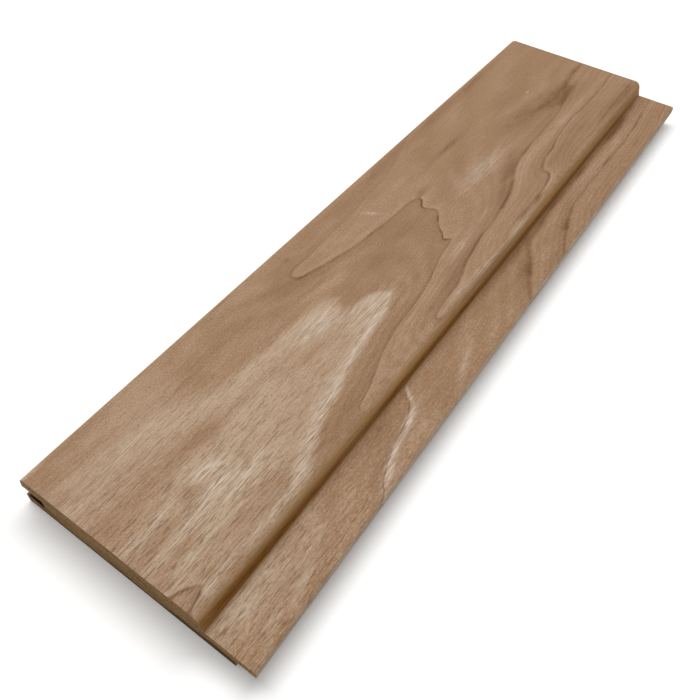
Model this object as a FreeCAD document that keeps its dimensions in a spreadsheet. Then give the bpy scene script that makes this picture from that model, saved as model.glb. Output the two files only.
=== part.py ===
"""Tongue and groove board with a shadow gap: one piece of planed and moulded wood.

The board lies on its back. X runs along the grain, Z is up, and the origin is in the
middle of the back. The groove is in the +Y edge and the tongue stands out of the -Y edge.
Lengths are in millimetres and angles in degrees.
"""

import os

import FreeCAD
import Part
import Sketcher

NODE = "board"

# Driving sizes: alias, value, what it measures.
SIZES = [
    ("board_length", 320.0, "length between the two saw cuts"),
    ("board_thickness", 15.0, "back to face"),
    ("cover_width", 82.5, "groove edge to the shoulder under the tongue, the pitch of laid boards"),
    ("shadow_gap", 10.0, "gap that shows between the faces of two laid boards"),
    ("tongue_length", 7.5, "shoulder to the tip of the tongue"),
    ("tongue_thickness", 4.0, "shelf to the underside of the tongue"),
    ("tongue_nose", 1.0, "radius of the tongue's two tip arrises"),
    ("side_clearance", 0.3, "room above and below a tongue in its groove"),
    ("end_clearance", 1.5, "room past the tip of a tongue in its groove"),
    ("lower_lip", 4.2, "lip between the groove and the back"),
    ("edge_draft", 15.0, "lean of the face's two edges"),
    ("face_radius", 3.0, "rounding between the face and its two edges"),
    ("mouth_radius", 0.5, "easing of the groove's mouth, which leads a tongue in"),
]

# Sizes that follow from the driving ones, as formulas of the sheet.
FORMULAS = [
    ("overall_width", "=cover_width + tongue_length"),
    ("half_width", "=overall_width / 2"),
    ("groove_height", "=tongue_thickness + 2 * side_clearance"),
    ("groove_depth", "=tongue_length + end_clearance"),
    ("shelf_height", "=lower_lip + side_clearance + tongue_thickness"),
    ("shelf_step", "=board_thickness - shelf_height"),
    ("upper_lip", "=board_thickness - lower_lip - groove_height"),
    ("step_lean", "=shelf_step * tan(edge_draft)"),
    ("lip_lean", "=upper_lip * tan(edge_draft)"),
    ("face_rounding", "=min(face_radius; 0.8 * upper_lip)"),
    ("nose_rounding", "=min(tongue_nose; 0.4 * tongue_thickness)"),
    ("mouth_rounding", "=min(mouth_radius; 0.4 * lower_lip)"),
]

# The section's sides, named after the corner where each one starts.
LEVEL_SIDES = ("back_groove", "tongue_root", "tip_top", "face_tongue", "mouth_top", "floor_under")
UPRIGHT_SIDES = ("back_tongue", "tip_under", "floor_top", "mouth_under")

# The section's dimensions: direction, low corner, high corner, alias.
DIMENSIONS = [
    ("DistanceX", "origin", "back_groove", "half_width"),
    ("DistanceX", "back_tongue", "back_groove", "cover_width"),
    ("DistanceX", "tip_under", "tongue_root", "tongue_length"),
    ("DistanceX", "tongue_root", "step_foot", "shadow_gap"),
    ("DistanceX", "step_foot", "face_tongue", "step_lean"),
    ("DistanceX", "face_groove", "mouth_top", "lip_lean"),
    ("DistanceX", "floor_top", "mouth_top", "groove_depth"),
    ("DistanceY", "back_groove", "mouth_under", "lower_lip"),
    ("DistanceY", "floor_under", "floor_top", "groove_height"),
    ("DistanceY", "tip_under", "tip_top", "tongue_thickness"),
    ("DistanceY", "origin", "step_foot", "shelf_height"),
    ("DistanceY", "back_groove", "face_groove", "board_thickness"),
]

# The section's rounded corners and the alias of each radius. The back's arrises stay square.
ROUNDINGS = [
    ("face_groove", "face_rounding"),
    ("face_tongue", "face_rounding"),
    ("tip_top", "nose_rounding"),
    ("tip_under", "nose_rounding"),
    ("mouth_under", "mouth_rounding"),
    ("mouth_top", "mouth_rounding"),
]

# Sketcher's numbers for the ends of a line, and for its own origin and axis.
START = 1
END = 2
SKETCH_AXIS = -1


def make_sheet(doc):
    """Puts the driving sizes and the formulas into an aliased spreadsheet."""
    sheet = doc.addObject("Spreadsheet::Sheet", "sizes")
    rows = [(alias, str(value), note) for alias, value, note in SIZES]
    rows += [(alias, formula, "follows from the sizes above") for alias, formula in FORMULAS]
    for row, (alias, content, note) in enumerate(rows, start=1):
        sheet.set(f"A{row}", alias)
        sheet.set(f"B{row}", content)
        sheet.set(f"C{row}", note)
        sheet.setAlias(f"B{row}", alias)
    doc.recompute()
    return sheet


def origin_plane(body, role):
    """Finds one of the body's own origin planes."""
    return next(item for item in body.Origin.OriginFeatures if item.Role == role)


def section_corners(size):
    """The section's sharp corners as name: (y, z), in order from the back's groove side."""
    groove_edge = size("half_width")
    shoulder = groove_edge - size("cover_width")
    tip = groove_edge - size("overall_width")
    step_foot = shoulder + size("shadow_gap")
    groove_floor = groove_edge - size("groove_depth")
    groove_top = size("lower_lip") + size("groove_height")
    shelf = size("shelf_height")
    tongue_under = shelf - size("tongue_thickness")
    face = size("board_thickness")
    return {
        "back_groove": (groove_edge, 0.0),
        "back_tongue": (shoulder, 0.0),
        "tongue_root": (shoulder, tongue_under),
        "tip_under": (tip, tongue_under),
        "tip_top": (tip, shelf),
        "step_foot": (step_foot, shelf),
        "face_tongue": (step_foot + size("step_lean"), face),
        "face_groove": (groove_edge - size("lip_lean"), face),
        "mouth_top": (groove_edge, groove_top),
        "floor_top": (groove_floor, groove_top),
        "floor_under": (groove_floor, size("lower_lip")),
        "mouth_under": (groove_edge, size("lower_lip")),
    }


def bind(sketch, constraint, name, alias):
    """Adds a named constraint whose value comes from the sheet."""
    index = sketch.addConstraint(constraint)
    sketch.renameConstraint(index, name)
    sketch.setExpression(f"Constraints.{name}", f"sizes.{alias}")


def draw_section(sketch, corners):
    """Draws the section with sharp corners and ties each of them to the sheet."""
    points = [FreeCAD.Vector(y, z, 0) for y, z in corners.values()]
    count = len(points)
    for index, point in enumerate(points):
        sketch.addGeometry(Part.LineSegment(point, points[(index + 1) % count]))
    for index in range(count):
        following = (index + 1) % count
        sketch.addConstraint(Sketcher.Constraint("Coincident", index, END, following, START))

    side = {name: index for index, name in enumerate(corners)}
    for name in LEVEL_SIDES:
        sketch.addConstraint(Sketcher.Constraint("Horizontal", side[name]))
    for name in UPRIGHT_SIDES:
        sketch.addConstraint(Sketcher.Constraint("Vertical", side[name]))
    on_floor = Sketcher.Constraint("PointOnObject", side["back_groove"], START, SKETCH_AXIS)
    lips_level = Sketcher.Constraint("Vertical", side["mouth_under"], START, side["mouth_top"], START)
    sketch.addConstraint(on_floor)
    sketch.addConstraint(lips_level)

    point = {name: (index, START) for name, index in side.items()}
    point["origin"] = (SKETCH_AXIS, START)
    place = {"origin": (0.0, 0.0), **corners}
    for direction, low, high, alias in DIMENSIONS:
        along = 0 if direction == "DistanceX" else 1
        value = place[high][along] - place[low][along]
        constraint = Sketcher.Constraint(direction, *point[low], *point[high], value)
        bind(sketch, constraint, f"{alias}_at_{high}", alias)


def round_section(sketch, corners, size):
    """Rounds the section's arrises and ties each radius to the sheet."""
    side = {name: index for index, name in enumerate(corners)}
    for name, alias in ROUNDINGS:
        sketch.fillet(side[name], START, size(alias), True, True)
        kinds = [curve.TypeId for curve in sketch.Geometry]
        newest_arc = len(kinds) - 1 - kinds[::-1].index("Part::GeomArcOfCircle")
        constraint = Sketcher.Constraint("Radius", newest_arc, size(alias))
        bind(sketch, constraint, f"{alias}_at_{name}", alias)


def make_board(doc, sheet):
    """Moulds the board: its section drawn once and run along the grain."""
    def size(alias):
        return float(sheet.get(alias))

    body = doc.addObject("PartDesign::Body", NODE)
    body.Label = NODE
    section = body.newObject("Sketcher::SketchObject", "section")
    section.AttachmentSupport = [(origin_plane(body, "YZ_Plane"), "")]
    section.MapMode = "FlatFace"
    corners = section_corners(size)
    draw_section(section, corners)
    round_section(section, corners, size)
    doc.recompute()

    stock = body.newObject("PartDesign::Pad", "moulded_stock")
    stock.Profile = section
    stock.Midplane = True
    stock.setExpression("Length", "sizes.board_length")
    doc.recompute()
    return body


def check(doc, body):
    """Stops if an object failed, a corner is loose or the board is not one sound solid."""
    for item in doc.Objects:
        if "Invalid" in item.State or "Error" in item.State:
            raise RuntimeError(f"{item.Label} failed: {item.State}")
    if not doc.getObject("section").FullyConstrained:
        raise RuntimeError("the section is not fully constrained")
    shape = body.Shape
    if shape.isNull() or not shape.isValid() or len(shape.Solids) != 1:
        raise RuntimeError(f"{body.Label} is not one valid solid")


def main():
    doc = FreeCAD.newDocument("tongue_and_groove_board")
    sheet = make_sheet(doc)
    board = make_board(doc, sheet)
    check(doc, board)
    os.makedirs("parts", exist_ok=True)
    board.Shape.exportStep(os.path.join("parts", f"{board.Label}.step"))


main()
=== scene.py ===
import math
from collections import namedtuple

import bpy
import numpy as np
from mathutils import Matrix, Vector


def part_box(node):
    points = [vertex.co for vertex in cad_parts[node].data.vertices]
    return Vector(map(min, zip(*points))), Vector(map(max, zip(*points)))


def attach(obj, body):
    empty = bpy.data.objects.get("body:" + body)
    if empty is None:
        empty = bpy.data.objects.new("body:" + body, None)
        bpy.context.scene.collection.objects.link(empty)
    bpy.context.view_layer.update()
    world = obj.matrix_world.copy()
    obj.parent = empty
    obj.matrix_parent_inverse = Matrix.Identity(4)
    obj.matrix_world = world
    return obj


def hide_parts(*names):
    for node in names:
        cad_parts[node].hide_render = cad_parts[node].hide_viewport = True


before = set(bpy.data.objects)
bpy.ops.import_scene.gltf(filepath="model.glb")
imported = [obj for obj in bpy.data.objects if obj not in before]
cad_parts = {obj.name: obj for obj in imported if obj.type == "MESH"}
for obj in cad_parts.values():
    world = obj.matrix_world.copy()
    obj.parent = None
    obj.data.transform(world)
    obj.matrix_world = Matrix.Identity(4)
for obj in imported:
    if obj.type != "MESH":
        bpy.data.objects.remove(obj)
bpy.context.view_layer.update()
BOARD_LOW, BOARD_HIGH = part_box("board")

bl_info = {
    "name": "Tongue and groove board",
    "version": (1, 0, 0),
    "blender": (4, 5, 0),
    "location": "3D View > Sidebar > Board",
    "description": "Runs a moulded cladding board, grows its wood figure and sets a plain stage round it",
    "category": "Object",
}

MM = 0.001

# The wood figure is given in millimetres: along the grain from the near saw cut, then
# across from the grooved edge. A mark belongs to the face or to the shelf beside the tongue. A streak
# fades out over its reach along the grain and its width across, and its slope turns it.
GrowthLine = namedtuple("GrowthLine", "surface ring darkness width points")
GrowthSpot = namedtuple("GrowthSpot", "surface ring along across")
Streak = namedtuple("Streak", "surface along across reach width slope amount")


def streaks(surface, *rows):
    """Streaks on one surface, each given as along, across, reach, width, slope and amount."""
    return tuple(Streak(surface, *row) for row in rows)


# Dark edges of the years' growth, numbered from the outside in.
GROWTH_LINES = (
    GrowthLine("face", 3, 0.35, 0.5, ((192, 9), (166, 12), (144, 13.2), (122, 13.4))),
    GrowthLine("face", 3, 0.90, 1.5, ((113, 14), (112.2, 16), (114, 18.2), (120, 20), (130, 22.5))),
    GrowthLine("face", 3, 0.75, 1.2, ((140, 24.5), (152, 26), (166, 27.5))),
    GrowthLine("face", 3, 1.00, 0.9, ((178, 29.2), (179, 30.5), (175.6, 33), (175.4, 36), (176.4, 39.6),
                                      (172, 42.2), (168, 45.5), (164.6, 48.6), (163.2, 50.6),
                                      (164.6, 52.4))),
    GrowthLine("face", 3, 0.66, 0.70, ((160, 53.2), (152, 54.2), (147, 55.5), (141, 57), (134, 58),
                                       (126, 58.7), (114, 59.4), (105, 60.6), (100, 62), (92, 64.4),
                                       (84, 66.5), (79, 68))),
    GrowthLine("face", 3, 0.20, 0.5, ((84, 69.6), (96, 71))),
    GrowthLine("face", 2, 0.66, 1.1, ((126, 68.6), (127.5, 67.3), (138, 66.2), (149, 65.3), (155, 63.6),
                                      (162, 62.3), (172, 61.1), (186, 60.2))),
    GrowthLine("face", 2, 0.85, 1.9, ((196, 59.2), (204, 57.6), (212, 55.3), (219, 52.4), (228, 50.6))),
    GrowthLine("face", 2, 0.50, 0.8, ((240, 50), (256, 50), (270, 49.7))),
    GrowthLine("face", 2, 0.20, 1.5, ((282, 47.8), (292, 44))),
    GrowthLine("face", 2, 0.30, 0.9, ((304, 41.2), (319, 40.6))),
    GrowthLine("face", 2, 0.10, 0.5, ((136, 70),)),
    GrowthLine("face", 1, 0.12, 0.8, ((188, 67.6), (204, 68.2))),
    GrowthLine("face", 1, 0.95, 0.9, ((214, 67.9), (223, 66.6), (226, 65.2), (226.6, 62.6), (229.4, 60.7),
                                      (240, 59.2), (250, 58))),
    GrowthLine("face", 1, 0.70, 0.5, ((260, 56.8), (272, 56.7), (286, 57.4), (300, 57.6), (319, 56.5))),
    GrowthLine("face", 0, 0.20, 1.2, ((240, 69), (262, 68.4), (285, 67.6), (304, 67.4), (319, 67))),
    GrowthLine("face", 4, 0.90, 1.0, ((-2, 61), (3, 62.6), (6, 64.2), (7.6, 65.6), (6, 66.7), (3, 67.6),
                                      (-2, 68.8))),
    GrowthLine("shelf", 3, 0.70, 0.7, ((99, 72.5), (95.5, 76), (92, 79), (84, 81.2), (74, 83), (66, 86),
                                       (61, 89))),
    GrowthLine("shelf", 2, 0.60, 2.0, ((300, 73), (240, 73.6), (200, 74.6), (188, 76), (180, 80),
                                       (172, 83.6), (165, 87), (160, 89.6))),
    GrowthLine("shelf", 1, 0.60, 1.6, ((319, 78), (290, 80.4), (260, 80.4), (232, 80.2), (220, 80.8),
                                       (210, 83), (200, 86), (191, 89.4))),
    GrowthLine("shelf", 0, 0.20, 0.8, ((319, 86), (280, 89))),
)
# The edge of the pale heart, and the ring count on it.
PALE_RING = 3.5
PALE_EDGE = ((60, 27), (85, 28.6), (105, 30.2), (113.6, 33.4), (114, 36.6), (110.6, 39.6), (116, 41.4),
             (124, 43.8), (128, 47.4), (126.4, 50.4), (118, 53), (108, 54.7), (96, 56.6), (84, 58.8),
             (72, 61.8), (62, 65.2), (54, 68.6))
# The ring count at places away from any line.
GROWTH_SPOTS = (
    GrowthSpot("face", 2.5, 300, 10),
    GrowthSpot("face", 2.55, 240, 25),
    GrowthSpot("face", 2.4, 220, 40),
    GrowthSpot("face", 3.2, 150, 2),
    GrowthSpot("face", 3.25, 145, 40),
    GrowthSpot("face", 3.65, 92, 42),
    GrowthSpot("face", 3.8, 60, 46),
    GrowthSpot("face", 3.4, 62, 18),
    GrowthSpot("face", 3.45, 10, 8),
    GrowthSpot("face", 3.75, 15, 45),
    GrowthSpot("face", 3.7, 25, 66),
    GrowthSpot("face", 4.3, 0, 65),
    GrowthSpot("shelf", 3.6, 20, 80),
)

# Soft patches of lighter (above nought) and darker (below nought) wood; a few rows are painted light, as
# marked.
TONES = streaks(
    "face",
    (34, 30, 66, 44, 0.0, 0.33),
    (84, 16, 32, 8.0, 0.08, -0.22),
    (57, 15, 8, 9, 0.0, -0.25),
    (94, 11, 20, 1.8, 0.36, -0.22),
    (285, 34, 75, 50, 0.0, -0.17),
    (30, 16, 20, 10, 0.0, 0.14),
    (80, 31, 32, 3, 0.0, 0.15),
    (147, 38, 26, 12, 0.0, -0.16),
    (26, 33.5, 22, 3.0, 0.02, -0.45),
    (42, 36, 8, 4, 0.0, -0.30),
    (26, 45, 4, 3.4, 0.1, -0.42),
    (18, 48.5, 9, 1.2, 0.0, -0.35),
    (93, 61.4, 28, 2.8, -0.14, -0.34),
    (70, 66, 16, 3, -0.2, -0.25),
    (22, 4, 18, 1.8, 0.0, -0.45),
    (87, 3.2, 7, 0.7, 0.0, -0.45),
    # Painted highlight on the rounded corner where the near end meets the grooved edge.
    (0, 0.8, 6, 1.8, 0.0, 1.5),
    (216, 21.6, 10, 0.9, 0.02, -0.80),
    (182, 28.5, 4, 0.8, -0.06, -0.90),
    (283, 44.2, 13, 4.2, 0.0, -0.62),
    (272, 40.6, 13, 1.3, 0.10, -0.45),
    (284, 43.2, 9, 1.1, 0.06, -0.60),
    (289, 45.6, 8, 1.2, 0.0, -0.65),
    (281, 47.2, 8, 0.9, -0.08, -0.45),
    (293, 42.6, 8, 0.9, -0.04, -0.45),
    (197, 68.1, 5, 0.8, 0.02, -1.2),
    (208, 68.8, 4, 0.5, 0.0, -1.0),
    (306, 41, 16, 1.4, 0.0, -0.55),
    (262, 37, 26, 4, 0.05, -0.30),
    (268, 31.5, 13, 1.8, 0.1, 0.30),
    (245, 63.5, 45, 3.5, 0.0, -0.25),
    (302, 68, 22, 1.8, 0.0, -0.60),
    (214, 52, 14, 2.4, -0.3, -0.48),
    (150, 63, 38, 1.8, -0.10, -0.35),
    (250, 5, 50, 2.0, 0.0, -0.30),
    (160, 6, 34, 2.4, 0.02, -0.25),
    (118, 8.6, 0.9, 0.8, 0.0, -0.9),
    (270, 53.6, 44, 2.0, 0.02, 0.22),
    (14, 30, 34, 40, 0.0, -0.06),
    # Painted light on the step's rounded edge, along the board and more of it near the near end.
    (150, 70.6, 400, 1.5, 0.0, 0.12),
    (30, 70.9, 20, 0.8, 0.0, 0.20),
) + streaks(
    "shelf",
    (24, 81, 46, 16, 0.0, 0.22),
    (16, 74.2, 42, 1.8, 0.0, 0.32),
    (290, 80, 80, 16, 0.0, -0.26),
    (173, 82.5, 13, 2.4, -0.45, -0.50),
    (204, 84.2, 12, 1.7, -0.33, -0.45),
    (288, 73.6, 18, 2.0, 0.02, -0.95),
    (75, 78, 26, 4, 0.0, -0.12),
    (178, 80, 26, 14, 0.0, -0.24),
    (212, 73.4, 50, 2.2, 0.0, -0.55),
    (79.6, 75.4, 0.9, 0.8, 0.0, -0.9),
    (278, 78.2, 40, 2.4, 0.01, 0.30),
    # Painted highlight along the tongue's tip.
    (160, 90.6, 300, 0.7, 0.0, 2.4),
)

# Where the pale heart of the board has a clear edge.
HEART = streaks("face", (84, 46, 60, 26, 0.0, 1.5))

# Where the grain is open and its pores show as short dark dashes.
OPEN_GRAIN = streaks(
    "face",
    (-20, 52, 130, 42, 0.0, 1.0),
) + streaks(
    "shelf",
    (-20, 82, 130, 40, 0.0, 0.9),
)

# Patches where brushing has raised pale fibres; one row is a painted highlight, as marked.
BRUSHED = streaks(
    "face",
    (100, 36.5, 13, 3.6, 0.08, 0.85),
    (116, 46.5, 15, 5.5, 0.05, 0.66),
    (124, 46, 6, 4.0, 0.2, 0.35),
    (104, 53, 20, 1.7, -0.10, 0.95),
    (78, 57.8, 15, 1.8, -0.20, 0.95),
    (57, 63.6, 12, 2.2, -0.32, 0.70),
    (11, 43, 11, 1.1, 0.0, 0.65),
    (34, 43.5, 6, 2.4, 0.25, 0.85),
    (32, 49.5, 9, 1.6, 0.05, 1.10),
    (38, 54, 11, 1.8, 0.03, 0.70),
    (14, 51.8, 15, 1.1, 0.0, 0.65),
    (20, 58.5, 24, 1.4, -0.02, 0.50),
    (9, 67.5, 6, 1.2, 0.0, 0.60),
    (38, 67.8, 17, 1.3, 0.0, 0.55),
    (20, 22, 34, 10, 0.0, 0.26),
    (25, 55, 30, 12, 0.0, 0.22),
    (212, 41, 17, 4.2, 0.03, 0.50),
    (274, 54, 46, 1.6, 0.0, 0.18),
    (144, 68.3, 11, 0.9, 0.0, 0.75),
    (161, 57.2, 11, 1.2, -0.05, 0.60),
    (160, 70, 14, 0.9, 0.0, 0.55),
    (188, 70.4, 10, 0.9, 0.0, 0.90),
    (159.4, 19, 2.0, 0.9, 1.3, 1.2),
    (278.6, 30.4, 1.4, 0.5, 0.0, 0.5),
) + streaks(
    "shelf",
    (11, 76.5, 12, 3.0, 0.0, 0.55),
    (28, 80, 18, 3.0, 0.02, 0.32),
    (22, 85, 14, 1.3, 0.0, 0.40),
    # Painted highlight along the tongue's tip, in the raised fibre colour.
    (210, 90.5, 130, 0.7, 0.0, 1.6),
    (97.4, 75.2, 2.4, 1.0, -1.1, 1.5),
    (88, 81.2, 7, 1.1, -0.2, 1.5),
    (71, 85.2, 8, 1.2, -0.34, 1.6),
    (119, 84.6, 9, 0.9, -0.28, 0.6),
    (272, 78.4, 42, 1.6, 0.0, 0.15),
)

# How the growth rings lie in the board: millimetres sideways for each one down, and the stretch of
# the directions in which they change slowly, along the grain, and fast, downwards.
RING_LEAN = 2.6
GRAIN_STRETCH = 0.35
DEPTH_STRETCH = 3.0
# How far a growth line's own look reaches, and the look of the wood far from any line.
LINE_REACH = 4.0
PLAIN_DARKNESS = 0.3
PLAIN_WIDTH = 0.8
PLAIN_WEIGHT = 0.02
# The field is worked out for so many of the mesh's points at a time.
FIELD_CHUNK = 8000
STREAK_DEPTH = 3.0
# Growth lines fade out between these depths below the face, on the step's side but not on the shelf.
LINE_FADE = (0.1, 0.7)
ABOVE_SHELF = 0.3
# Painted light makes the step's side lighter and warmer than plain wood, and painted shade darkens it
# lower down, into the corner with the shelf. Each row is a height above the shelf and the strength there.
# Along the board, the painted shade has a strength, a stretch of those heights and the share of it that
# reaches the very foot.
SIDE_REACH = 3.6
SAME_HEIGHT = 0.05
LIGHT_UP = ((0, 0.3), (0.9, 1.0), (4.0, 1.0), (6.4, 0.0))
SHADE_UP = ((1.3, 1.0), (2.5, 1.0), (4.0, 0.0))
SHADE_ALONG = (
    (0, 0.9, 1.4, 0.45),
    (12, 1.0, 1.25, 0.5),
    (32, 1.0, 1.05, 0.5),
    (50, 0.9, 0.95, 0.5),
    (70, 0.75, 0.85, 0.35),
    (100, 0.95, 0.9, 0.4),
    (150, 0.9, 0.8, 0.4),
    (190, 0.85, 0.75, 0.75),
    (250, 0.8, 0.7, 0.75),
    (290, 0.55, 0.65, 0.9),
    (320, 0.15, 0.7, 0.8),
)
# Painted shade blackens the groove up to this share of its height from its middle, and fully so from this
# far in.
GROOVE_SHARE = 0.55
GROOVE_MOUTH = 1.5


def length_property(name, description, default):
    """A length that is entered in the scene's own unit."""
    return bpy.props.FloatProperty(
        name=name, description=description, default=default, min=0.0, precision=4, unit="LENGTH"
    )


def angle_property(name, description, degrees):
    """An angle whose default is given in degrees."""
    return bpy.props.FloatProperty(
        name=name, description=description, default=math.radians(degrees), subtype="ANGLE"
    )


def colour_property(name, description, default):
    """A solid colour."""
    return bpy.props.FloatVectorProperty(
        name=name,
        description=description,
        default=(*default, 1.0),
        size=4,
        min=0.0,
        max=1.0,
        subtype="COLOR",
    )


def plain_property(name, description, default):
    """A strength without a unit."""
    return bpy.props.FloatProperty(name=name, description=description, default=default, min=0.0)


class BoardSizes(bpy.types.PropertyGroup):
    """Sizes of the moulded section and of the mesh that is run along it."""

    length: length_property("Length", "Between the two saw cuts", BOARD_HIGH.x - BOARD_LOW.x)
    width: length_property("Width", "From the grooved edge to the tongue's tip", BOARD_HIGH.y - BOARD_LOW.y)
    thickness: length_property("Thickness", "From the back to the face", BOARD_HIGH.z - BOARD_LOW.z)
    tongue_length: length_property("Tongue length", "From its shoulder to its tip", 7.5 * MM)
    tongue_thickness: length_property("Tongue thickness", "Height of the tongue", 4.0 * MM)
    shelf_height: length_property("Shelf height", "Of shelf and tongue above the back", 8.5 * MM)
    shadow_gap: length_property("Shadow gap", "Width of the shelf from step to shoulder", 10 * MM)
    groove_height: length_property("Groove height", "Open height of the groove", 4.6 * MM)
    groove_depth: length_property("Groove depth", "How deep the groove is cut in", 9.0 * MM)
    groove_floor: length_property("Lower lip", "Thickness of the lip under the groove", 4.2 * MM)
    edge_draft: angle_property("Edge draft", "Lean of the face's two long edges", 15)
    face_rounding: length_property("Face rounding", "Radius of the face's two long edges", 3.0 * MM)
    tip_rounding: length_property("Tip rounding", "Radius of the tongue's two long edges", 1.0 * MM)
    mouth_rounding: length_property("Mouth rounding", "Radius of the groove's two long edges", 0.5 * MM)
    along_spacing: length_property("Spacing along", "Of the mesh's points along the grain", 1.0 * MM)
    across_spacing: length_property("Spacing across", "Of the mesh's points round the section", 1.1 * MM)
    rounding_steps: bpy.props.IntProperty(
        name="Rounding steps", description="Points on each rounded edge", default=6, min=1
    )


class WoodLook(bpy.types.PropertyGroup):
    """Colours and texture sizes of the wood."""

    plain: colour_property("Plain wood", "The face between its growth lines", (0.350, 0.213, 0.123))
    light: colour_property("Light wood", "The lightest even patches", (0.56, 0.425, 0.302))
    dark: colour_property("Dark wood", "The darkest even patches", (0.19, 0.097, 0.045))
    fibre: colour_property("Raised fibres", "Pale fibres that brushing has raised", (0.66, 0.55, 0.445))
    line: colour_property("Growth lines", "Dark edge of each year's growth", (0.135, 0.058, 0.024))
    # Painted light: this cut side colour paints the step's side lighter and warmer than its shade would
    # leave it.
    side: colour_property("Cut side", "The step's side, browned by the cutter", (0.62, 0.355, 0.150))
    # Painted shade: the burnt foot colour paints the shade in the corner between the step's side and the
    # shelf.
    foot_shade: colour_property("Burnt foot", "The step's side where it is burnt", (0.245, 0.100, 0.008))
    # Painted shade: the groove colour paints the shade inside the groove.
    groove: colour_property("Groove", "Inside the groove, burnt most", (0.052, 0.016, 0.004))
    end: colour_property("End grain", "The sawn ends", (0.330, 0.195, 0.084))
    # Painted light: the end grain edges colour paints the ends paler near both long edges.
    end_bounce_light: colour_property("End grain edges", "Bruised edges of the sawn ends", (0.43, 0.285, 0.155))
    end_dark: colour_property("End grain lines", "Rings and pores on the sawn ends", (0.105, 0.055, 0.020))
    line_strength: plain_property("Line strength", "How dark the growth lines are drawn", 0.62)
    relief: length_property("Relief", "Height of the brushed grain", 0.12 * MM)


class StageLook(bpy.types.PropertyGroup):
    """The floor, the lamps and the camera."""

    floor: colour_property("Floor", "Colour of the floor", (0.885, 0.885, 0.880))
    floor_lift: plain_property("Floor lift", "Light added to the floor in the camera's eye", 0.22)
    sky: plain_property("Sky", "Strength of the light from all round", 0.20)
    sky_colour: colour_property("Sky colour", "Colour of the light from all round", (1.0, 0.98, 0.93))
    key_power: bpy.props.FloatProperty(
        name="Key light", description="Power of the large soft lamp", default=196.0, unit="POWER"
    )
    key_width: length_property("Key width", "Width of the large soft lamp", 5.5)
    key_height: length_property("Key height", "Height of the large soft lamp", 2.2)
    lens: bpy.props.FloatProperty(
        name="Lens", description="Focal length on a 36 mm wide sensor", default=37.445, unit="CAMERA"
    )
    yaw: angle_property("Yaw", "Turn of the view from the grain's direction", 34.5963)
    pitch: angle_property("Pitch", "How steeply the camera looks down", 49.5833)
    roll: angle_property("Roll", "Turn of the camera about its own line of sight", 1.3088)


CAMERA_PLACE = Vector((-194.458, -89.146, 204.694)) * MM
CAMERA_SHIFT = (0.02857, -0.02347)
CAMERA_CLEAR = 0.01
SENSOR_WIDTH = 36.0
KEY_DIRECTION = Vector((0.38, 0.36, 1.0))
KEY_DISTANCE = 4.0
FLOOR_SIDE = 12.0
FLOOR_DROP = 0.1 * MM
FLOOR_ROUGHNESS = 0.9
# The floor is lit up to plain white from the first of these distances to the second.
CLEAR_FLOOR = 0.35
FAR_FLOOR = 1.6
WHITE = (1.0, 1.0, 1.0, 1.0)

# Noise repeats so many times to the metre along, across and through the board.
Noise = namedtuple("Noise", "repeats detail roughness", defaults=(0.5,))
NOISE_MIDDLE = 0.5
# A ramp goes smoothly from its start to its end as a value goes from low to high.
Ramp = namedtuple("Ramp", "low high start end", defaults=(0.0, 1.0))


class Wiring:
    """Adds and joins the nodes of one tree."""

    def __init__(self, tree):
        self.tree = tree

    def node(self, kind, inputs=None, **settings):
        """A new node, with its settings made and its inputs joined or set."""
        made = self.tree.nodes.new(kind)
        for name, value in settings.items():
            setattr(made, name, value)
        for name, value in (inputs or {}).items():
            self.feed(made.inputs[name], value)
        return made

    def feed(self, socket, value):
        """Joins an output to a socket, or sets the socket to a plain value."""
        if isinstance(value, bpy.types.NodeSocket):
            self.tree.links.new(value, socket)
        else:
            socket.default_value = value

    def maths(self, operation, *values, clamp=False):
        """The result of one operation on the values."""
        inputs = dict(enumerate(values))
        return self.node("ShaderNodeMath", inputs, operation=operation, use_clamp=clamp).outputs[0]

    def product(self, first, second, clamp=False):
        """Two values multiplied."""
        return self.maths("MULTIPLY", first, second, clamp=clamp)

    def add(self, total, value, amount):
        """A total with so much of a value added."""
        return self.maths("MULTIPLY_ADD", value, amount, total)

    def centred(self, noise):
        """A noise moved so that it lies evenly about nought."""
        return self.maths("SUBTRACT", noise, NOISE_MIDDLE)

    def ramp(self, value, ramp):
        """A value put through a smooth ramp."""
        inputs = {
            "Value": value,
            "From Min": ramp.low,
            "From Max": ramp.high,
            "To Min": ramp.start,
            "To Max": ramp.end,
        }
        return self.node("ShaderNodeMapRange", inputs, interpolation_type="SMOOTHSTEP").outputs["Result"]

    def blend(self, amount, low, high):
        """A colour between two colours."""
        # The colour sockets come after those of the same names for values and vectors.
        inputs = {0: amount, 6: low, 7: high}
        return self.node("ShaderNodeMix", inputs, data_type="RGBA").outputs[2]

    def noises(self, place, patterns):
        """Named noises in the board's own space."""
        made = {}
        for name, noise in patterns.items():
            space = self.node("ShaderNodeMapping", {"Vector": place, "Scale": noise.repeats}).outputs[0]
            inputs = {"Vector": space, "Scale": 1.0, "Detail": noise.detail, "Roughness": noise.roughness}
            made[name] = self.node("ShaderNodeTexNoise", inputs).outputs[0]
        return made

    def attribute(self, name):
        """A value that is stored on the mesh's points."""
        return self.node("ShaderNodeAttribute", attribute_name=name).outputs["Fac"]


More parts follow.
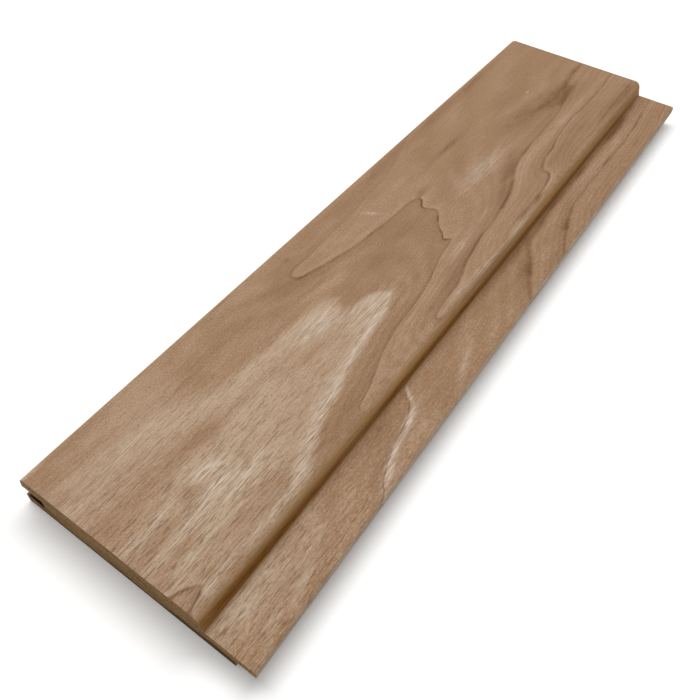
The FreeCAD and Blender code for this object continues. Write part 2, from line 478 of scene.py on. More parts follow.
def section_corners(sizes):
    """The section's corners as (across, up, rounding), round from the back of the grooved edge."""
    edge = sizes.width / 2
    shoulder = sizes.tongue_length - edge
    step = shoulder + sizes.shadow_gap
    groove_top = sizes.groove_floor + sizes.groove_height
    lean = math.tan(sizes.edge_draft)
    step_lean = (sizes.thickness - sizes.shelf_height) * lean
    lip_lean = (sizes.thickness - groove_top) * lean
    tongue_foot = sizes.shelf_height - sizes.tongue_thickness
    groove_end = edge - sizes.groove_depth
    return (
        (edge, 0.0, 0.0),
        (shoulder, 0.0, 0.0),
        (shoulder, tongue_foot, 0.0),
        (-edge, tongue_foot, sizes.tip_rounding),
        (-edge, sizes.shelf_height, sizes.tip_rounding),
        (step, sizes.shelf_height, 0.0),
        (step + step_lean, sizes.thickness, sizes.face_rounding),
        (edge - lip_lean, sizes.thickness, sizes.face_rounding),
        (edge, groove_top, sizes.mouth_rounding),
        (groove_end, groove_top, 0.0),
        (groove_end, sizes.groove_floor, 0.0),
        (edge, sizes.groove_floor, sizes.mouth_rounding),
    )


def section_mesh(sizes):
    """The sharp section as one closed line, with each corner's rounding stored on it."""
    corners = section_corners(sizes)
    count = len(corners)
    mesh = bpy.data.meshes.new("board_section")
    mesh.from_pydata(
        [(across, up, 0.0) for across, up, _ in corners],
        [(k, (k + 1) % count) for k in range(count)],
        [],
    )
    rounding = mesh.attributes.new("rounding", "FLOAT", "POINT")
    rounding.data.foreach_set("value", [corner[2] for corner in corners])
    return mesh


TREE_INPUTS = (
    ("Section", "NodeSocketGeometry"),
    ("Length", "NodeSocketFloat"),
    ("Spacing along", "NodeSocketFloat"),
    ("Spacing across", "NodeSocketFloat"),
    ("Rounding steps", "NodeSocketInt"),
    ("Long grain", "NodeSocketMaterial"),
    ("End grain", "NodeSocketMaterial"),
)
SHARP_ANGLE = math.radians(24)
SAME_POINT = 0.001 * MM
SAWN_FACING = 0.5


def rounded_section(wiring, given):
    """Nodes that round the section's corners and divide its straight sides."""
    section = wiring.node("GeometryNodeMeshToCurve", {"Mesh": given["Section"]}).outputs["Curve"]
    radius = wiring.node("GeometryNodeInputNamedAttribute", {"Name": "rounding"}, data_type="FLOAT")
    rounded = wiring.node(
        "GeometryNodeFilletCurve",
        {
            "Curve": section,
            "Count": given["Rounding steps"],
            "Radius": radius.outputs["Attribute"],
            "Limit Radius": True,
        },
        mode="POLY",
    ).outputs["Curve"]
    place = wiring.node("GeometryNodeInputPosition").outputs[0]
    index = wiring.node("GeometryNodeInputIndex").outputs[0]
    following = wiring.node("GeometryNodeOffsetPointInCurve", {"Point Index": index, "Offset": 1})
    next_place = wiring.node(
        "GeometryNodeFieldAtIndex",
        {"Index": following.outputs["Point Index"], "Value": place},
        data_type="FLOAT_VECTOR",
    ).outputs[0]
    gap = wiring.node("ShaderNodeVectorMath", {0: place, 1: next_place}, operation="DISTANCE")
    pieces = wiring.maths("CEIL", wiring.maths("DIVIDE", gap.outputs["Value"], given["Spacing across"]))
    cuts = wiring.maths("MAXIMUM", wiring.maths("SUBTRACT", pieces, 1.0), 0.0)
    return wiring.node("GeometryNodeSubdivideCurve", {"Curve": rounded, "Cuts": cuts}).outputs["Curve"]


def straight_path(wiring, given):
    """Nodes for the line along the grain that the section is run down."""
    half = wiring.product(given["Length"], 0.5)
    start = wiring.node("ShaderNodeCombineXYZ", {"X": wiring.product(half, -1.0)}).outputs[0]
    end = wiring.node("ShaderNodeCombineXYZ", {"X": half}).outputs[0]
    line = wiring.node("GeometryNodeCurvePrimitiveLine", {"Start": start, "End": end}).outputs["Curve"]
    count = wiring.maths("CEIL", wiring.maths("DIVIDE", given["Length"], given["Spacing along"]))
    points = wiring.maths("ADD", count, 1.0)
    divided = wiring.node("GeometryNodeResampleCurve", {"Curve": line, "Count": points}, mode="COUNT")
    # Half a turn stands the section upright, with the face on top.
    turned = wiring.node("GeometryNodeSetCurveTilt", {"Curve": divided.outputs[0], "Tilt": math.pi})
    return turned.outputs[0]


def moulding_tree():
    """Geometry nodes that run a section down a straight board and close its sawn ends."""
    tree = bpy.data.node_groups.new("run_moulding", "GeometryNodeTree")
    for name, kind in TREE_INPUTS:
        tree.interface.new_socket(name, in_out="INPUT", socket_type=kind)
    tree.interface.new_socket("Board", in_out="OUTPUT", socket_type="NodeSocketGeometry")
    wiring = Wiring(tree)
    given = wiring.node("NodeGroupInput").outputs
    run = wiring.node(
        "GeometryNodeCurveToMesh",
        {
            "Curve": straight_path(wiring, given),
            "Profile Curve": rounded_section(wiring, given),
            "Fill Caps": True,
        },
    ).outputs["Mesh"]
    closed = wiring.node("GeometryNodeMergeByDistance", {"Geometry": run, "Distance": SAME_POINT}).outputs[0]
    smooth = wiring.node("GeometryNodeSetShadeSmooth", {"Geometry": closed, "Shade Smooth": True}).outputs[0]
    angle = wiring.node("GeometryNodeInputMeshEdgeAngle").outputs["Unsigned Angle"]
    corner = wiring.maths("GREATER_THAN", angle, SHARP_ANGLE)
    creased = wiring.node(
        "GeometryNodeSetShadeSmooth",
        {"Geometry": smooth, "Selection": corner, "Shade Smooth": False},
        domain="EDGE",
    ).outputs[0]
    whole = wiring.node("GeometryNodeRealizeInstances", {"Geometry": creased}).outputs[0]
    long_grain = wiring.node("GeometryNodeSetMaterial", {"Geometry": whole, "Material": given["Long grain"]})
    facing = wiring.node("GeometryNodeInputNormal").outputs[0]
    facing_along = wiring.node("ShaderNodeSeparateXYZ", {"Vector": facing}).outputs["X"]
    sawn = wiring.maths("GREATER_THAN", wiring.maths("ABSOLUTE", facing_along), SAWN_FACING)
    both = wiring.node(
        "GeometryNodeSetMaterial",
        {"Geometry": long_grain.outputs[0], "Selection": sawn, "Material": given["End grain"]},
    )
    wiring.node("NodeGroupOutput", {"Board": both.outputs[0]})
    return tree


def run_board(sizes, long_grain, end_grain):
    """The board as one plain closed mesh."""
    board = bpy.data.objects.new("moulded_board", section_mesh(sizes))
    bpy.context.scene.collection.objects.link(board)
    tree = moulding_tree()
    values = {
        "Length": sizes.length,
        "Spacing along": sizes.along_spacing,
        "Spacing across": sizes.across_spacing,
        "Rounding steps": sizes.rounding_steps,
        "Long grain": long_grain,
        "End grain": end_grain,
    }
    modifier = board.modifiers.new("run_moulding", "NODES")
    modifier.node_group = tree
    for socket in tree.interface.items_tree:
        if socket.name in values:
            modifier[socket.identifier] = values[socket.name]
    depsgraph = bpy.context.evaluated_depsgraph_get()
    mesh = bpy.data.meshes.new_from_object(board.evaluated_get(depsgraph), depsgraph=depsgraph)
    board.modifiers.clear()
    board.data = mesh
    if not mesh.polygons:
        raise RuntimeError("The section could not be run down the board.")
    return board


def surface_height(surface, sizes):
    """Height in millimetres of the face or the shelf."""
    height = sizes.thickness if surface == "face" else sizes.shelf_height
    return height / MM


class GrowthField:
    """A smooth count of the growth rings through the board, whole on each growth line."""

    def __init__(self, sizes):
        self.face = sizes.thickness / MM
        knots = []
        for line in GROWTH_LINES:
            height = surface_height(line.surface, sizes)
            look = (line.ring, line.darkness, line.width)
            knots += [(along, across, height, *look) for along, across in line.points]
        self.line_count = len(knots)
        for spot in GROWTH_SPOTS:
            height = surface_height(spot.surface, sizes)
            knots.append((spot.along, spot.across, height, spot.ring, 0.0, 0.0))
        knots += [(along, across, self.face, PALE_RING, 0.0, 0.0) for along, across in PALE_EDGE]
        knots = np.array(knots, float)
        self.knots = self.ring_space(knots[:, :3])
        self.line_look = knots[: self.line_count, 4:]
        self.weights, self.trend = self.solve(knots[:, 3])

    def ring_space(self, places):
        """Places in millimetres, moved so that a step in any direction counts alike for the rings."""
        depth = self.face - places[:, 2]
        across = places[:, 1] - RING_LEAN * depth
        return np.column_stack((places[:, 0] * GRAIN_STRETCH, across, depth * DEPTH_STRETCH))

    def solve(self, rings):
        """Weights of the knots and the even trend that pass the field through every ring number."""
        count = len(self.knots)
        apart = np.linalg.norm(self.knots[:, None] - self.knots[None], axis=-1)
        trend = np.column_stack((np.ones(count), self.knots))
        terms = trend.shape[1]
        system = np.zeros((count + terms, count + terms))
        system[:count, :count] = apart**3
        system[:count, count:] = trend
        system[count:, :count] = trend.T
        solved = np.linalg.solve(system, np.concatenate((rings, np.zeros(terms))))
        return solved[:count], solved[count:]

    def sample(self, places, normals):
        """Ring count, its slope along the surface for each millimetre, and the lines' look at places."""
        ring, slope, look = [], [], []
        plain = PLAIN_WEIGHT * np.array((PLAIN_DARKNESS, PLAIN_WIDTH))
        for start in range(0, len(places), FIELD_CHUNK):
            part = slice(start, start + FIELD_CHUNK)
            here = self.ring_space(places[part])
            away = here[:, None] - self.knots[None]
            far = np.linalg.norm(away, axis=-1)
            ring.append(far**3 @ self.weights + self.trend[0] + here @ self.trend[1:])
            rise = np.einsum("ij,ijk->ik", 3 * far * self.weights, away) + self.trend[1:]
            slope.append(self.surface_slope(rise, normals[part]))
            near = np.exp(-((far[:, : self.line_count] / LINE_REACH) ** 2))
            total = near.sum(1, keepdims=True) + PLAIN_WEIGHT
            look.append((near @ self.line_look + plain) / total)
        return np.concatenate(ring), np.concatenate(slope), np.concatenate(look)

    @staticmethod
    def surface_slope(rise, normals):
        """Turns the rise in ring space into its length along the surface, in millimetres."""
        real = np.column_stack(
            (rise[:, 0] * GRAIN_STRETCH, rise[:, 1], rise[:, 1] * RING_LEAN - rise[:, 2] * DEPTH_STRETCH)
        )
        along_surface = real - normals * np.sum(real * normals, axis=1, keepdims=True)
        return np.linalg.norm(along_surface, axis=1)


def streak_sum(marks, places, sizes):
    """Adds up soft streaks at places in millimetres."""
    total = np.zeros(len(places))
    for streak in marks:
        along = places[:, 0] - streak.along
        across = places[:, 1] - streak.across - streak.slope * along
        down = places[:, 2] - surface_height(streak.surface, sizes)
        far = (along / streak.reach) ** 2 + (across / streak.width) ** 2 + (down / STREAK_DEPTH) ** 2
        total += streak.amount * np.exp(-far)
    return total


def painted_light_and_shade(places, sizes):
    """How much painted light lightens the step's side, and how much painted shade darkens its foot and the
    groove.
    """
    width = sizes.width / MM
    step = width - (sizes.tongue_length + sizes.shadow_gap) / MM
    shelf = sizes.shelf_height / MM
    height = places[:, 2]
    from_step = step - places[:, 1]
    on_side = (height > shelf - SAME_HEIGHT) & (from_step > -SAME_HEIGHT) & (from_step < SIDE_REACH)
    risen = height - shelf
    # Painted light on the step's side, weaker at its very foot.
    painted_light = np.interp(risen, *zip(*LIGHT_UP))
    # Painted shade low on the step's side, its strength and reach changing along the board.
    along, *shade_rows = zip(*SHADE_ALONG)
    strength, reach, foot = (np.interp(places[:, 0], along, row) for row in shade_rows)
    stretched = risen / reach
    painted_shade = strength * np.interp(stretched, *zip(*SHADE_UP))
    painted_shade *= foot + (1.0 - foot) * np.clip(stretched / SHADE_UP[0][0], 0.0, 1.0)
    # Painted shade inside the groove, from its mouth inwards.
    groove_middle = (sizes.groove_floor + sizes.groove_height / 2) / MM
    in_groove = np.abs(height - groove_middle) < sizes.groove_height / MM * GROOVE_SHARE
    inside = np.clip(places[:, 1] / GROOVE_MOUTH, 0.0, 1.0) * (places[:, 1] < width / 2)
    return {"painted_light": on_side * painted_light, "painted_shade": on_side * painted_shade, "groove_painted_shade": in_groove * inside}


def line_fade(places, sizes):
    """One where growth lines show, falling to nought down the step's rounded edge."""
    across, height = places[:, 1], places[:, 2]
    tongue_half = across > sizes.width / MM / 2
    on_side = tongue_half & (height > sizes.shelf_height / MM + ABOVE_SHELF)
    return np.where(on_side, np.interp(sizes.thickness / MM - height, LINE_FADE, (1.0, 0.0)), 1.0)


def grow_figure(board, sizes):
    """Stores the wood's figure on the board's points."""
    mesh = board.data
    count = len(mesh.vertices)
    corners = np.empty(count * 3)
    mesh.vertices.foreach_get("co", corners)
    normals = np.empty(count * 3)
    mesh.vertices.foreach_get("normal", normals)
    corners = corners.reshape(-1, 3) / MM
    # Across runs from the grooved edge, against the board's own Y.
    flip = np.array((1.0, -1.0, 1.0))
    places = corners * flip + np.array((sizes.length / 2, sizes.width / 2, 0.0)) / MM
    ring, slope, line_look = GrowthField(sizes).sample(places, normals.reshape(-1, 3) * flip)
    figure = {
        "ring": ring,
        "ring_slope": slope,
        "line_darkness": line_look[:, 0] * line_fade(places, sizes),
        "line_width": line_look[:, 1],
        "tone": streak_sum(TONES, places, sizes),
        "brushed": streak_sum(BRUSHED, places, sizes),
        "heart": np.minimum(streak_sum(HEART, places, sizes), 1.0),
        "open_grain": np.minimum(streak_sum(OPEN_GRAIN, places, sizes), 1.0),
        # Painted light on the step's side, painted shade at its foot and in the groove.
        **painted_light_and_shade(places, sizes),
    }
    for name, values in figure.items():
        layer = mesh.attributes.new(name, "FLOAT", "POINT")
        layer.data.foreach_set("value", values.astype(np.float32))


def new_material(name):
    """An empty material with its shader and output in place."""
    material = bpy.data.materials.new(name)
    material.use_nodes = True
    material.node_tree.nodes.clear()
    wiring = Wiring(material.node_tree)
    shader = wiring.node("ShaderNodeBsdfPrincipled")
    wiring.node("ShaderNodeOutputMaterial", {"Surface": shader.outputs[0]})
    return material, wiring, shader


LONG_GRAIN = {
    "fibre": Noise((170, 2600, 2600), 3.0, 0.6),
    "thread": Noise((100, 1500, 1500), 2.0),
    "streak": Noise((16, 240, 240), 3.0),
    "cloud": Noise((28, 75, 75), 3.0),
    "speckle": Noise((1300, 2400, 2400), 1.0),
    "mottle": Noise((90, 210, 210), 3.0, 0.6),
    "wobble": Noise((90, 500, 500), 3.0),
    "strand": Noise((150, 2700, 2700), 2.0),
    "pore": Noise((170, 2600, 2600), 1.0),
    "dash": Noise((260, 3100, 3100), 2.0),
}
# A growth line wanders by so many millimetres, and its dark core has a share of its width. Ramps from
# the core are in the core's own widths: late wood shades off inwards, pale early wood lies outside.
LEAST_SLOPE = 0.004
LINE_WANDER = 1.6
CORE_SHARE = 0.8
CORE = Ramp(0.0, 1.0, 1.0, 0.0)
LATE_EDGE = Ramp(-0.5, 0.3)
LATE_FADE = Ramp(0.0, 6.0, 1.0, 0.0)
LATE_STRENGTH = 0.22
EARLY_RISE = Ramp(-6.0, -1.0)
EARLY_EDGE = Ramp(-1.0, -0.2, 1.0, 0.0)
EARLY_TONE = 0.22
CORE_BREAKS = Ramp(0.34, 0.58, 0.55, 1.15)
LONG_BREAKS = Ramp(0.32, 0.62, 0.55, 1.15)
SHORT_BREAKS = Ramp(0.40, 0.58, 0.55, 1.15)
# The pale heart's edge frays by so many millimetres.
HEART_FRAY = 5.0
HEART_EDGE = Ramp(-0.8, 2.0)
HEART_TONE = 0.25
# Faint bands run inside each ring, dark patches are mottled, and each noise adds its part to the tone.
BAND_TURNS = 31.0
BAND_BEND = 9.0
BAND_TONE = 0.08
DARK_MOTTLE = Ramp(0.36, 0.64, 0.60, 1.40)
NOISE_TONES = {"streak": 0.35, "cloud": 0.6, "mottle": 0.5, "fibre": 0.9, "thread": 0.3, "speckle": 1.3}
COMBED_TONE = 2.2
# Brushing raises threads and fibres, and fine hairs on them.
THREAD_SHARE = 0.4
FIBRE_SHARE = 0.6
TUFTS = Ramp(0.4, 0.6, 0.2, 0.75)
HAIRS = Ramp(0.50, 0.68)
HAIR_SHARE = 0.6
# Pores are small pits all over, and dashes where the grain is open.
PITS = Ramp(0.66, 0.74)
PIT_DARKNESS = 0.35
PIT_DEPTH = -0.7
DASHES = Ramp(0.50, 0.68)
DASH_DARKNESS = 0.82
# Noise that makes the painted light and shade on the step's side uneven.
PAINT_STREAKS = Ramp(0.3, 0.7, 0.65, 1.25)
PAINT_FIBRES = Ramp(0.36, 0.60, 0.62, 1.12)
WOOD_ROUGHNESS = Ramp(0.3, 0.7, 0.66, 0.8)
WOOD_SPECULAR = 0.08
WOOD_BUMP = 0.5


def ring_count(wiring, grain):
    """The count of growth rings, shaken a little, and its slope for each millimetre."""
    slope = wiring.maths("MAXIMUM", wiring.attribute("ring_slope"), LEAST_SLOPE)
    shake = wiring.add(-LINE_WANDER / 2, grain["wobble"], LINE_WANDER)
    return wiring.add(wiring.attribute("ring"), shake, slope), slope


def growth_lines(wiring, grain, ring, slope, strength):
    """How dark the growth lines are, and how strong the pale early wood outside them is."""
    past_line = wiring.maths("SUBTRACT", ring, wiring.maths("ROUND", ring))
    core_width = wiring.product(wiring.attribute("line_width"), CORE_SHARE)
    from_core = wiring.maths("DIVIDE", wiring.maths("DIVIDE", past_line, slope), core_width)
    core = wiring.ramp(wiring.maths("ABSOLUTE", from_core), CORE)
    late = wiring.product(wiring.ramp(from_core, LATE_FADE), wiring.ramp(from_core, LATE_EDGE))
    early = wiring.product(wiring.ramp(from_core, EARLY_RISE), wiring.ramp(from_core, EARLY_EDGE))
    broken = wiring.product(core, wiring.ramp(grain["fibre"], CORE_BREAKS))
    patchy = wiring.product(
        wiring.ramp(grain["streak"], LONG_BREAKS), wiring.ramp(grain["mottle"], SHORT_BREAKS)
    )
    edge = wiring.add(wiring.product(broken, strength), late, LATE_STRENGTH)
    darkness = wiring.attribute("line_darkness")
    line = wiring.product(wiring.product(edge, patchy), darkness, clamp=True)
    return line, wiring.product(early, darkness)


def inside_heart(wiring, grain, ring, slope):
    """One inside the frayed edge of the pale heart, and nought outside."""
    from_edge = wiring.maths("DIVIDE", wiring.maths("SUBTRACT", ring, PALE_RING), slope)
    return wiring.ramp(wiring.add(from_edge, wiring.centred(grain["thread"]), HEART_FRAY), HEART_EDGE)


def wood_tone(wiring, grain, ring, heart, early):
    """How much lighter than plain the wood is, or darker below nought."""
    bands = wiring.maths("SINE", wiring.add(wiring.product(grain["cloud"], BAND_BEND), ring, BAND_TURNS))
    patches = wiring.attribute("tone")
    lighter = wiring.maths("MAXIMUM", patches, 0.0)
    darker = wiring.maths("MINIMUM", patches, 0.0)
    tone = wiring.add(lighter, darker, wiring.ramp(grain["mottle"], DARK_MOTTLE))
    for value, amount in ((bands, BAND_TONE), (heart, HEART_TONE), (early, EARLY_TONE)):
        tone = wiring.add(tone, value, amount)
    for name, amount in NOISE_TONES.items():
        tone = wiring.add(tone, wiring.centred(grain[name]), amount)
    combed = wiring.product(wiring.attribute("brushed"), wiring.centred(grain["strand"]))
    return wiring.add(tone, combed, COMBED_TONE)


def paint_light_and_shade(wiring, grain, colour, look):
    """A colour with painted light on the step's side, and painted shade at its foot and in the groove, over
    it.
    """
    uneven = wiring.product(
        wiring.ramp(grain["streak"], PAINT_STREAKS), wiring.ramp(grain["fibre"], PAINT_FIBRES)
    )
    for mark, paint in (("painted_light", look.side), ("painted_shade", look.foot_shade)):
        amount = wiring.product(wiring.attribute(mark), uneven, clamp=True)
        colour = wiring.blend(amount, colour, paint)
    return wiring.blend(wiring.attribute("groove_painted_shade"), colour, look.groove)


def dress_shader(wiring, shader, colour, roughness, bump):
    """Joins a wood's colour, roughness and relief to its shader."""
    wiring.feed(shader.inputs["Base Color"], colour)
    wiring.feed(shader.inputs["Roughness"], roughness)
    wiring.feed(shader.inputs["Normal"], wiring.node("ShaderNodeBump", bump).outputs[0])


def long_grain_material(look):
    """Planed and brushed wood along the grain."""
    material, wiring, shader = new_material("planed_long_grain")
    grain = wiring.noises(wiring.node("ShaderNodeTexCoord").outputs["Object"], LONG_GRAIN)
    ring, slope = ring_count(wiring, grain)
    line, early = growth_lines(wiring, grain, ring, slope, look.line_strength)
    inside = inside_heart(wiring, grain, ring, slope)
    heart = wiring.attribute("heart")

    tone = wood_tone(wiring, grain, ring, wiring.product(inside, heart), early)
    colour = wiring.blend(wiring.product(tone, 1.0, clamp=True), look.plain, look.light)
    colour = wiring.blend(wiring.product(tone, -1.0, clamp=True), colour, look.dark)

    raised = wiring.add(wiring.product(grain["fibre"], FIBRE_SHARE), grain["thread"], THREAD_SHARE)
    tufts = wiring.add(wiring.ramp(raised, TUFTS), wiring.ramp(grain["strand"], HAIRS), HAIR_SHARE)
    within = wiring.add(1.0, heart, wiring.maths("SUBTRACT", inside, 1.0))
    brushed = wiring.product(wiring.attribute("brushed"), within)
    colour = wiring.blend(wiring.product(brushed, tufts, clamp=True), colour, look.fibre)
    colour = wiring.blend(line, colour, look.line)

    pits = wiring.ramp(grain["pore"], PITS)
    colour = wiring.blend(wiring.product(pits, PIT_DARKNESS), colour, look.line)
    dashes = wiring.product(wiring.attribute("open_grain"), wiring.ramp(grain["dash"], DASHES))
    colour = wiring.blend(wiring.product(dashes, DASH_DARKNESS), colour, look.dark)
    # Painted light on the step's side, painted shade at its foot and in the groove.
    colour = paint_light_and_shade(wiring, grain, colour, look)

    height = wiring.add(raised, pits, PIT_DEPTH)
    bump = {"Height": height, "Strength": WOOD_BUMP, "Distance": look.relief}
    dress_shader(wiring, shader, colour, wiring.ramp(raised, WOOD_ROUGHNESS), bump)
    shader.inputs["Specular IOR Level"].default_value = WOOD_SPECULAR
    return material


END_GRAIN = {
    "bend": Noise((40, 40, 40), 2.0),
    "pore": Noise((900, 1100, 1300), 2.0),
    "grime": Noise((90, 150, 150), 3.0),
    "saw": Noise((300, 70, 620), 4.0, 0.65),
}
# Rings on the sawn ends: millimetres from one to the next, their bend, and how thin the late wood is.
END_RING = 13.0
END_BEND = 1.4
LATE_POWER = 5.0
LATE_TONE = 0.3
# Painted shade darkens the foot of the ends, and reaches higher up on the tongue's side.
FOOT_SHADE = Ramp(0.2 * MM, 2.6 * MM, 0.85, 0.0)
LOW_SHADE_ACROSS = Ramp(-20 * MM, -6 * MM, 1.1, 0.0)
LOW_SHADE_UP = Ramp(2.5 * MM, 5 * MM, 1.0, 0.0)
GRIME_TONE = 0.5
SAW_MARKS = Ramp(0.43, 0.60)
SAW_TONE = 0.55
END_PORES = Ramp(0.46, 0.64)
PORE_TONE = 0.6
CLEAN_TONE = 0.56
# Painted light makes the ends paler near both long edges, from the tongue's height up.
BOUNCE_ACROSS = Ramp(34 * MM, 44 * MM, 0.0, 0.55)
BOUNCE_UP = Ramp(4 * MM, 9 * MM)
SAW_RELIEF = 0.6
PORE_RELIEF = 0.4
END_ROUGHNESS = Ramp(0.3, 0.7, 0.72, 0.86)
END_SPECULAR = 0.05
END_BUMP = 0.6


def end_tone(wiring, grain, axes):
    """How dark the sawn ends are."""
    sideways = wiring.product(axes["Y"], -1.0 / MM)
    leaned = wiring.add(sideways, axes["Z"], RING_LEAN / MM)
    ring = wiring.add(wiring.product(grain["bend"], END_BEND), leaned, 1.0 / END_RING)
    late = wiring.maths("POWER", wiring.maths("FRACT", ring), LATE_POWER)
    # Painted shade along the ends' foot, reaching higher on the tongue's side.
    low_shade = wiring.product(wiring.ramp(axes["Y"], LOW_SHADE_ACROSS), wiring.ramp(axes["Z"], LOW_SHADE_UP))
    floor_shade = wiring.maths("ADD", wiring.ramp(axes["Z"], FOOT_SHADE), low_shade)
    tone = wiring.add(wiring.add(floor_shade, late, LATE_TONE), grain["grime"], GRIME_TONE)
    tone = wiring.add(tone, wiring.ramp(grain["saw"], SAW_MARKS), SAW_TONE)
    tone = wiring.maths("SUBTRACT", tone, CLEAN_TONE)
    return wiring.add(tone, wiring.ramp(grain["pore"], END_PORES), PORE_TONE)


def end_grain_material(look):
    """Sawn wood across the grain."""
    material, wiring, shader = new_material("sawn_end_grain")
    place = wiring.node("ShaderNodeTexCoord").outputs["Object"]
    axes = wiring.node("ShaderNodeSeparateXYZ", {"Vector": place}).outputs
    grain = wiring.noises(place, END_GRAIN)
    from_middle = wiring.maths("ABSOLUTE", axes["Y"])
    # Painted light on the ends near both long edges.
    bounce_lit = wiring.product(wiring.ramp(from_middle, BOUNCE_ACROSS), wiring.ramp(axes["Z"], BOUNCE_UP))
    colour = wiring.blend(bounce_lit, look.end, look.end_bounce_light)
    # The dark end colour draws the rings and pores, and also the painted shade at the ends' foot.
    darkened = wiring.product(end_tone(wiring, grain, axes), 1.0, clamp=True)
    colour = wiring.blend(darkened, colour, look.end_dark)
    height = wiring.add(wiring.product(grain["pore"], PORE_RELIEF), grain["saw"], SAW_RELIEF)
    bump = {"Height": height, "Strength": END_BUMP, "Distance": look.relief}
    dress_shader(wiring, shader, colour, wiring.ramp(grain["pore"], END_ROUGHNESS), bump)
    shader.inputs["Specular IOR Level"].default_value = END_SPECULAR
    return material


def floor_material(stage):
    """A pale floor that the camera sees as white where nothing shades it."""
    material, wiring, shader = new_material("pale_floor")
    shader.inputs["Base Color"].default_value = stage.floor
    shader.inputs["Roughness"].default_value = FLOOR_ROUGHNESS
    shader.inputs["Specular IOR Level"].default_value = 0.0
    shader.inputs["Emission Color"].default_value = WHITE
    place = wiring.node("ShaderNodeTexCoord").outputs["Object"]
    away = wiring.node("ShaderNodeVectorMath", {0: place}, operation="LENGTH").outputs["Value"]
    lift = wiring.ramp(away, Ramp(CLEAR_FLOOR, FAR_FLOOR, stage.floor_lift, 1.0))
    wiring.feed(shader.inputs["Emission Strength"], wiring.product(seen_rays(wiring), lift))
    return material


def seen_rays(wiring):
    """One for rays that show the background itself: straight, mirrored or through glass."""
    path = wiring.node("ShaderNodeLightPath").outputs
    mirrored = wiring.maths("MAXIMUM", path["Is Glossy Ray"], path["Is Transmission Ray"])
    return wiring.maths("MAXIMUM", path["Is Camera Ray"], mirrored)


def lay_floor(stage):
    """A wide level floor just under the board."""
    half = FLOOR_SIDE / 2
    mesh = bpy.data.meshes.new("floor")
    corners = [(x, y, -FLOOR_DROP) for x, y in ((-half, -half), (half, -half), (half, half), (-half, half))]
    mesh.from_pydata(corners, [], [(0, 1, 2, 3)])
    mesh.materials.append(floor_material(stage))
    floor = bpy.data.objects.new("floor", mesh)
    bpy.context.scene.collection.objects.link(floor)


def light_sky(stage):
    """Even light from all round, seen as plain white."""
    world = bpy.data.worlds.new("studio_sky")
    world.use_nodes = True
    world.node_tree.nodes.clear()
    wiring = Wiring(world.node_tree)
    seen = seen_rays(wiring)
    strength = wiring.maths("MAXIMUM", seen, stage.sky)
    colour = wiring.blend(seen, stage.sky_colour, WHITE)
    background = wiring.node("ShaderNodeBackground", {"Color": colour, "Strength": strength})
    wiring.node("ShaderNodeOutputWorld", {"Surface": background.outputs[0]})
    bpy.context.scene.world = world


def hang_key_light(stage):
    """A large soft lamp high up, towards the board's far end and its grooved edge."""
    lamp = bpy.data.lights.new("key_softbox", "AREA")
    lamp.shape = "RECTANGLE"
    lamp.size = stage.key_width
    lamp.size_y = stage.key_height
    lamp.energy = stage.key_power
    key = bpy.data.objects.new("key_softbox", lamp)
    direction = KEY_DIRECTION.normalized()
    key.location = direction * KEY_DISTANCE
    key.rotation_mode = "QUATERNION"
    key.rotation_quaternion = direction.to_track_quat("Z", "Y")
    bpy.context.scene.collection.objects.link(key)


def place_camera(stage):
    """A camera that looks down along the board from above its near end."""
    lens = bpy.data.cameras.new("camera")
    lens.sensor_width = SENSOR_WIDTH
    lens.lens = stage.lens
    lens.shift_x, lens.shift_y = CAMERA_SHIFT
    lens.clip_start = CAMERA_CLEAR
    camera = bpy.data.objects.new("camera", lens)
    level = math.cos(stage.pitch)
    look = Vector((level * math.cos(stage.yaw), level * math.sin(stage.yaw), -math.sin(stage.pitch)))
    right = Vector((math.sin(stage.yaw), -math.cos(stage.yaw), 0.0))
    up = right.cross(look)
    turned_right = right * math.cos(stage.roll) + up * math.sin(stage.roll)
    turned_up = up * math.cos(stage.roll) - right * math.sin(stage.roll)
    axes = Matrix((turned_right, turned_up, -look)).transposed()
    camera.matrix_world = Matrix.Translation(CAMERA_PLACE) @ axes.to_4x4()
    bpy.context.scene.collection.objects.link(camera)
    bpy.context.scene.camera = camera


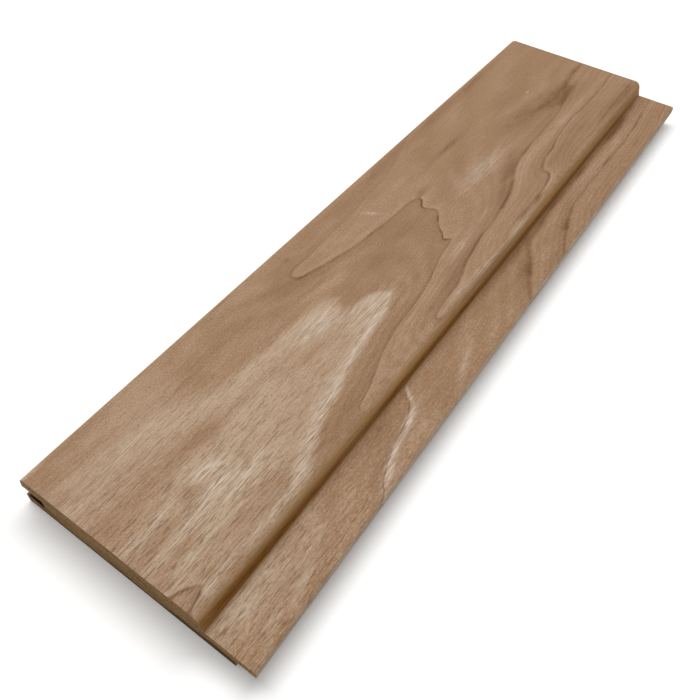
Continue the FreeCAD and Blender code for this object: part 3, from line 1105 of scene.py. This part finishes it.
class BOARD_OT_run_moulding(bpy.types.Operator):
    """Run the board's moulded section, grow its figure and finish the wood"""

    bl_idname = "board.run_moulding"
    bl_label = "Run moulded board"

    def execute(self, context):
        sizes = context.scene.board_sizes
        look = context.scene.wood_look
        board = run_board(sizes, long_grain_material(look), end_grain_material(look))
        grow_figure(board, sizes)
        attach(board, "root")
        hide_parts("board")
        return {"FINISHED"}


class BOARD_OT_set_stage(bpy.types.Operator):
    """Lay the floor, hang the lamps and place the camera"""

    bl_idname = "board.set_stage"
    bl_label = "Set stage"

    def execute(self, context):
        stage = context.scene.stage_look
        lay_floor(stage)
        light_sky(stage)
        hang_key_light(stage)
        place_camera(stage)
        context.scene.view_settings.view_transform = "Standard"
        return {"FINISHED"}


class BOARD_PT_sidebar(bpy.types.Panel):
    """List the board's operators and settings"""

    bl_idname = "BOARD_PT_sidebar"
    bl_label = "Tongue and groove board"
    bl_space_type = "VIEW_3D"
    bl_region_type = "UI"
    bl_category = "Board"

    def draw(self, context):
        for operator in OPERATORS:
            self.layout.operator(operator.bl_idname)
        for group in (context.scene.board_sizes, context.scene.wood_look, context.scene.stage_look):
            box = self.layout.box()
            for name in group.__annotations__:
                box.prop(group, name)


OPERATORS = (BOARD_OT_run_moulding, BOARD_OT_set_stage)
CLASSES = (BoardSizes, WoodLook, StageLook, *OPERATORS, BOARD_PT_sidebar)


def register():
    """Add the classes and the settings to Blender."""
    for each in CLASSES:
        bpy.utils.register_class(each)
    bpy.types.Scene.board_sizes = bpy.props.PointerProperty(type=BoardSizes)
    bpy.types.Scene.wood_look = bpy.props.PointerProperty(type=WoodLook)
    bpy.types.Scene.stage_look = bpy.props.PointerProperty(type=StageLook)


def unregister():
    """Take the settings and the classes out again."""
    del bpy.types.Scene.stage_look
    del bpy.types.Scene.wood_look
    del bpy.types.Scene.board_sizes
    for each in reversed(CLASSES):
        bpy.utils.unregister_class(each)


def main():
    """Make the board and its stage."""
    register()
    bpy.ops.board.run_moulding()
    bpy.ops.board.set_stage()


if __name__ == "__main__":
    main()
